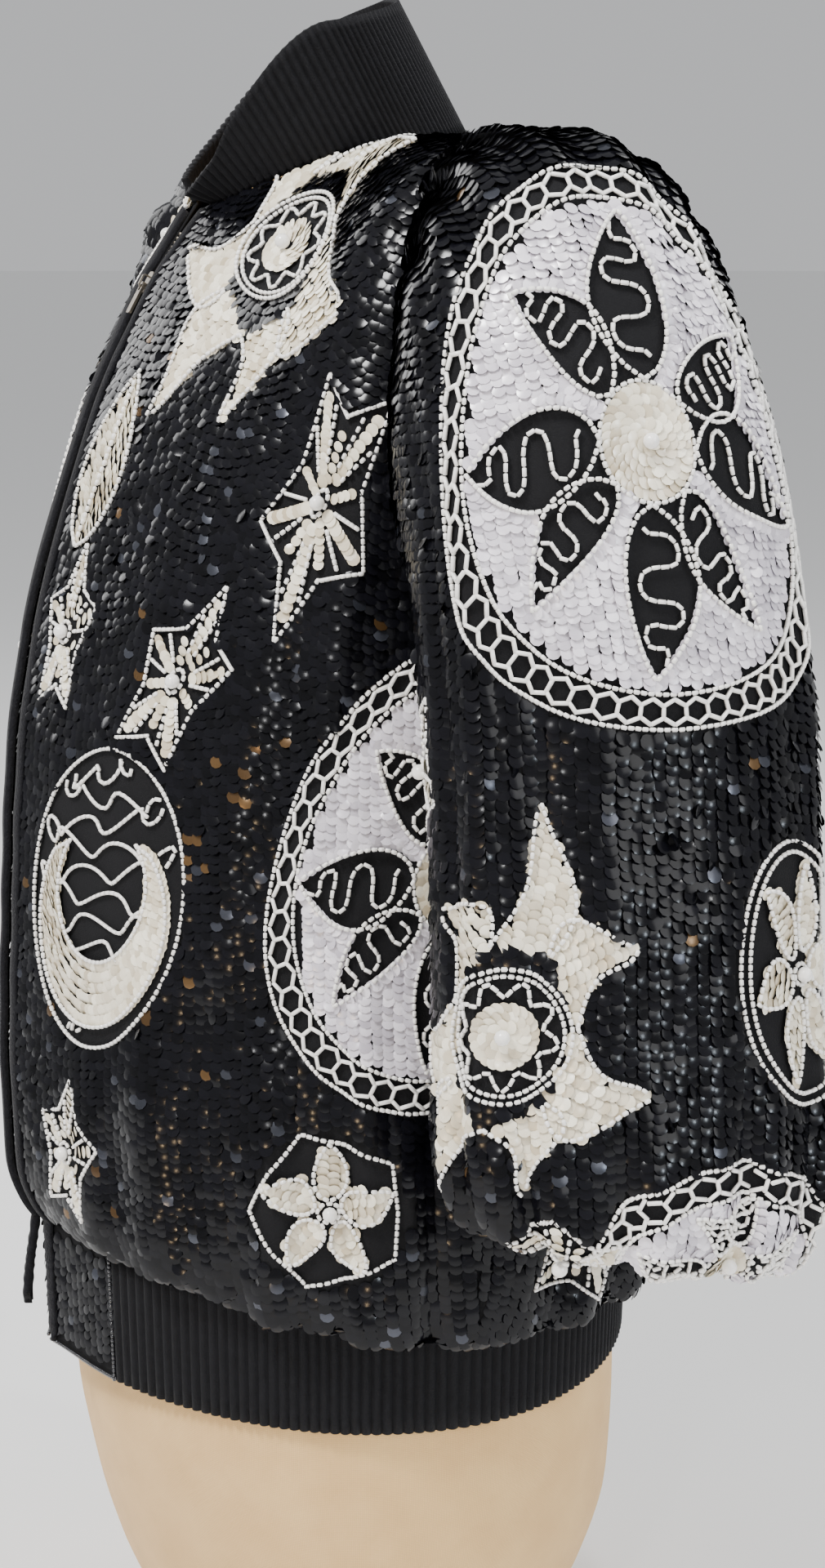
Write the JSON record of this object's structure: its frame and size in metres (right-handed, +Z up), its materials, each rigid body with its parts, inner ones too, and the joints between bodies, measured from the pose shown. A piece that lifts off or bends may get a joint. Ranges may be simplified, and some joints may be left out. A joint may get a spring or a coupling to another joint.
{
  "type": "bomber jacket on a limbless dress form",
  "caption": "Sequined bomber jacket with ribbed collar, cuffs and hem band, zipped up on a limbless dress form that stands on its flat base.",
  "frame": {"origin": "centre of the form's flat base, on the surface that it stands on", "axes": "+Z up, -Y towards the wearer's front, +X towards the wearer's left"},
  "size_m": [0.625, 0.3448, 0.8749],
  "materials": {
    "sequin_cloth": "glossy black sequins with white and ivory motifs",
    "knit_rib": "matte black rib knit",
    "edge_strip": "matte black pile",
    "zip_tape": "matte woven tape",
    "dark_metal": "dark satin metal",
    "linen": "plain cream linen weave",
    "base_board": "matte black paint"
  },
  "bodies": {
    "jacket": {"front_left": "sequin_cloth", "front_right": "sequin_cloth", "sleeve_left": "sequin_cloth", "sleeve_right": "sequin_cloth", "cuff_left": "knit_rib", "cuff_right": "knit_rib", "hem_tab_left": "sequin_cloth", "hem_tab_right": "sequin_cloth", "placket_left": "edge_strip", "placket_right": "edge_strip", "zip_tape_left": "zip_tape", "zip_tape_right": "zip_tape", "back": "sequin_cloth", "collar": "knit_rib", "hem_band": "knit_rib", "zip_slider": "dark_metal", "zip_arch": "dark_metal", "dress_form": "linen", "form_base": "base_board"},
    "zip_pull": {"zip_pull": "dark_metal"}
  },
  "joints": [
    {"name": "zip_pull_swing", "type": "hinge", "parent": "jacket", "child": "zip_pull", "pos_m": [0, -0.10386, 0.73745], "axis": [-1, 0, 0], "range_deg": [0, 125]}
  ]
}
